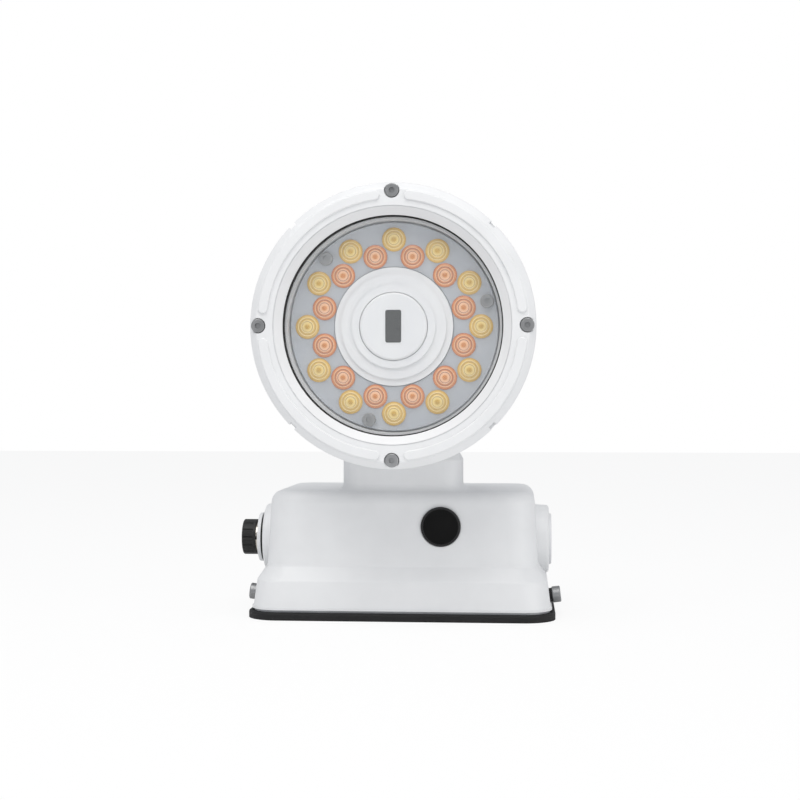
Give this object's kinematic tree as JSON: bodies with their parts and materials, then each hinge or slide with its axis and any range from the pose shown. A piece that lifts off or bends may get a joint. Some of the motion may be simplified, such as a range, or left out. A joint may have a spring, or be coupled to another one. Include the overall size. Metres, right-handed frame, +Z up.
{
  "type": "horn strobe",
  "caption": "Aimable round LED warning lamp with a sounder port, on a tilting neck above a surface-mounted box base with a capped side connector.",
  "frame": {"origin": "middle of the underside of the base gasket, on the mounting surface", "axes": "+Z up from the mounting surface, -Y the way the lamp faces, +X to the right seen from the front"},
  "size_m": [0.2119, 0.1903, 0.2675],
  "materials": {
    "gasket_rubber": "matt black moulded rubber",
    "plate_metal": "plain die-cast, lightly blasted",
    "white_shell": "white satin powder coat",
    "white_plastic": "white moulded plastic",
    "black_plastic": "black moulded plastic",
    "screw_steel": "stainless steel",
    "nickel": "nickel plated brass",
    "brass": "bare turned brass",
    "board_green": "solder-masked circuit board",
    "board_white": "white solder-masked board",
    "lens_clear": "clear toughened glass",
    "optic_clear": "clear moulded acrylic",
    "chip_yellow": "yellow phosphor LED",
    "chip_amber": "amber phosphor LED",
    "reflector": "metallised moulding",
    "window_black": "dark infrared window",
    "lead_black": "black lead jacket",
    "capsule_metal": "pressed aluminium can"
  },
  "bodies": {
    "base": {"base_gasket": "gasket_rubber", "mounting_plate": "plate_metal", "cable_grommet": "gasket_rubber", "earth_screw": "brass", "clamp_screws": "screw_steel", "clamp_washers": "gasket_rubber", "base_housing": "white_shell", "sounder_rim": "black_plastic", "sounder_mesh": "black_plastic", "sounder_nut": "black_plastic", "sounder_capsule": "black_plastic", "port_gasket": "gasket_rubber", "port_flange": "white_plastic", "connector_barrel": "nickel", "connector_insert": "black_plastic", "connector_pins": "brass", "connector_nut": "nickel", "blank_plate": "white_plastic", "blank_oring": "gasket_rubber", "blank_nut": "nickel", "board_pillars": "brass", "control_board": "board_green", "board_screws": "screw_steel", "terminal_block": "black_plastic", "terminal_screws": "screw_steel", "power_module": "black_plastic", "capacitors": "capsule_metal", "lamp_header": "white_plastic", "selector_body": "black_plastic", "friction_washers": "black_plastic", "lock_washer": "screw_steel", "tilt_lock_bolt": "screw_steel", "neck_lead": "lead_black"},
    "head": {"head_housing": "white_shell", "hollow_pivot": "screw_steel", "ear_cap": "black_plastic", "head_lead": "lead_black", "bezel_ring": "white_shell", "bezel_screws": "screw_steel", "lens_gasket": "gasket_rubber", "front_lens": "lens_clear", "housing_seal": "gasket_rubber", "optic_plate": "optic_clear", "optic_screws": "screw_steel", "optic_spacers": "white_plastic", "led_board": "board_white", "led_chips_yellow": "chip_yellow", "led_chips_amber": "chip_amber", "reflector_ring": "reflector", "centre_boss": "white_plastic", "sensor_window": "window_black", "sensor_board": "board_green", "sensor_chip": "black_plastic", "driver_board": "board_green", "driver_screws": "screw_steel", "driver_parts": "black_plastic"},
    "cap_carrier": {"cap_seal": "gasket_rubber"},
    "cap": {"connector_cap": "black_plastic"},
    "selector": {"selector_rotor": "white_plastic"}
  },
  "joints": [
    {"name": "head_tilt", "type": "hinge", "parent": "base", "child": "head", "pos_m": [0, -0.025, 0.15], "axis": [-1, 0, 0], "range_deg": [-15, 60]},
    {"name": "cap_travel", "type": "slide", "parent": "base", "child": "cap_carrier", "axis": [-1, 0, 0], "range_m": [0, 0.006]},
    {"name": "cap_turn", "type": "hinge", "parent": "cap_carrier", "child": "cap", "pos_m": [-0.105, 0, 0.0465], "axis": [-1, 0, 0], "range_deg": [0, 1445]},
    {"name": "selector_turn", "type": "hinge", "parent": "base", "child": "selector", "pos_m": [0.03, -0.026, 0.025], "axis": [0, 0, 1], "continuous": true}
  ],
  "couplings": [
    {"joint": "cap_turn", "follows": "cap_travel", "rad_per_m": 4188.8}
  ]
}
